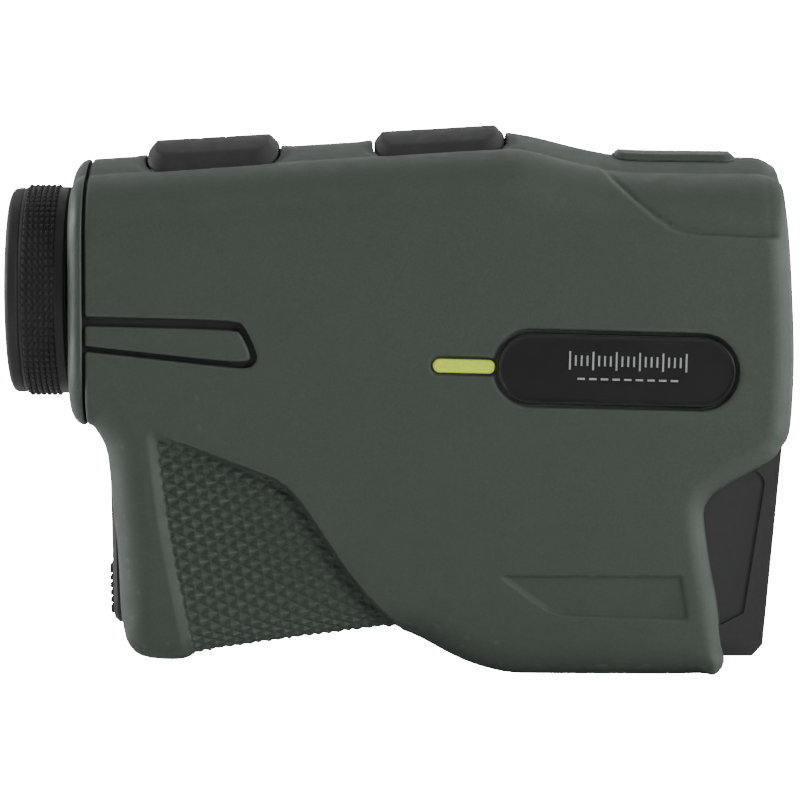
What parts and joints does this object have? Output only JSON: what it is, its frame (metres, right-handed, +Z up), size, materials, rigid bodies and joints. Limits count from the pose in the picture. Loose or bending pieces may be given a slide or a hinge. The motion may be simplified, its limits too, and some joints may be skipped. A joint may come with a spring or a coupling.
{
  "type": "laser rangefinder",
  "caption": "Hand-held monocular laser rangefinder with a rubber-armoured grip, top buttons, focusing eyepiece with pull-out eyecup and a hinged battery door.",
  "frame": {"origin": "mouth of the tripod socket, in the flat base on the centre plane", "axes": "+X towards the target (objective end), +Y to the user's left, +Z up out of the buttons"},
  "size_m": [0.1094, 0.04, 0.0764],
  "materials": {
    "armour_green": "soft-touch satin, dark green",
    "chassis_black": "fine-textured black polymer",
    "bezel_black": "matte black polymer",
    "cap_green": "satin dark green",
    "seal_black": "matte black elastomer",
    "plate_black": "satin black",
    "accent_lime": "satin lime",
    "button_rubber": "matte dark grey",
    "grip_rubber": "matte black, knurled",
    "eyecup_rubber": "matte black",
    "anodised_black": "black anodised",
    "satin_aluminium": "satin",
    "objective_glass": "polished, multicoated",
    "prism_glass": "polished with ground edges",
    "display_glass": "glossy display panel",
    "board_green": "solder-masked laminate",
    "chip_black": "moulded packages",
    "switch_plastic": "moulded",
    "plunger_dark": "moulded",
    "battery_jacket": "printed film over a steel can",
    "spring_steel": "bright spring wire and strip",
    "screw_steel": "black oxide",
    "pin_steel": "ground",
    "brass": "turned",
    "sensor_can": "nickel plated"
  },
  "bodies": {
    "shell": {"armour_right": "armour_green", "armour_left": "armour_green", "side_inlays": "armour_green", "chassis_right": "chassis_black", "chassis_left": "chassis_black", "front_bezel": "bezel_black", "rear_cap": "cap_green", "rear_gasket": "seal_black", "top_plate": "cap_green", "nameplates": "plate_black", "accent_bars": "accent_lime", "button_board": "board_green", "switch_bodies": "switch_plastic", "objective_barrel": "anodised_black", "objective_crown_lens": "objective_glass", "objective_flint_lens": "objective_glass", "objective_retaining_ring": "anodised_black", "prism_housing": "chassis_black", "half_penta_prism": "prism_glass", "roof_prism": "prism_glass", "prism_clip": "spring_steel", "combiner_prisms": "prism_glass", "display_lens": "prism_glass", "display_bracket": "chassis_black", "oled_display": "display_glass", "field_stop": "anodised_black", "eyepiece_tube": "anodised_black", "guide_screw": "pin_steel", "laser_barrel": "anodised_black", "laser_lens": "objective_glass", "laser_diode": "sensor_can", "laser_board": "board_green", "apd_sensor": "sensor_can", "main_board": "board_green", "board_chips": "chip_black", "battery": "battery_jacket", "battery_tube": "chassis_black", "battery_spring": "spring_steel", "hinge_pin": "pin_steel", "tripod_bush": "brass", "shell_screws": "screw_steel", "cover_screws": "screw_steel"},
    "power_button": {"power_button": "button_rubber"},
    "mode_button": {"mode_button": "button_rubber"},
    "power_switch": {"power_switch_plunger": "plunger_dark"},
    "mode_switch": {"mode_switch_plunger": "plunger_dark"},
    "diopter": {"diopter_ring": "bezel_black", "diopter_grip": "grip_rubber", "focus_pin": "pin_steel"},
    "ocular": {"ocular_cell": "satin_aluminium", "field_lens": "objective_glass", "eye_lens": "objective_glass", "ocular_spacer": "anodised_black", "ocular_retaining_ring": "anodised_black"},
    "eyecup": {"eyecup": "eyecup_rubber"},
    "battery_door": {"battery_door": "bezel_black", "door_seal": "seal_black", "door_contact": "spring_steel"},
    "door_latch": {"door_latch": "button_rubber"}
  },
  "joints": [
    {"name": "power_press", "type": "slide", "parent": "shell", "child": "power_button", "axis": [0.0576, 0, -0.9983], "range_m": [0, 0.0005]},
    {"name": "mode_press", "type": "slide", "parent": "shell", "child": "mode_button", "axis": [0.0576, 0, -0.9983], "range_m": [0, 0.0005]},
    {"name": "power_switch_press", "type": "slide", "parent": "shell", "child": "power_switch", "axis": [0.0576, 0, -0.9983], "range_m": [0, 0.0005]},
    {"name": "mode_switch_press", "type": "slide", "parent": "shell", "child": "mode_switch", "axis": [0.0576, 0, -0.9983], "range_m": [0, 0.0005]},
    {"name": "diopter_turn", "type": "hinge", "parent": "shell", "child": "diopter", "pos_m": [-0.0777, 0, 0.053], "axis": [1, 0, 0], "range_deg": [-100, 100]},
    {"name": "ocular_focus", "type": "slide", "parent": "shell", "child": "ocular", "axis": [1, 0, 0], "range_m": [-0.0012, 0.0012]},
    {"name": "eyecup_pull", "type": "slide", "parent": "diopter", "child": "eyecup", "axis": [-1, 0, 0], "range_m": [0, 0.0032]},
    {"name": "battery_door_swing", "type": "hinge", "parent": "shell", "child": "battery_door", "pos_m": [-0.0682, 0, 0.03201], "axis": [0, 1, 0], "range_deg": [0, 100]},
    {"name": "door_latch_slide", "type": "slide", "parent": "battery_door", "child": "door_latch", "axis": [0.0209, 0, -0.9998], "range_m": [0, 0.0013]}
  ],
  "couplings": [
    {"joint": "power_switch_press", "follows": "power_press", "ratio": 1},
    {"joint": "mode_switch_press", "follows": "mode_press", "ratio": 1},
    {"joint": "ocular_focus", "follows": "diopter_turn", "m_per_rad": 0.00068754}
  ]
}
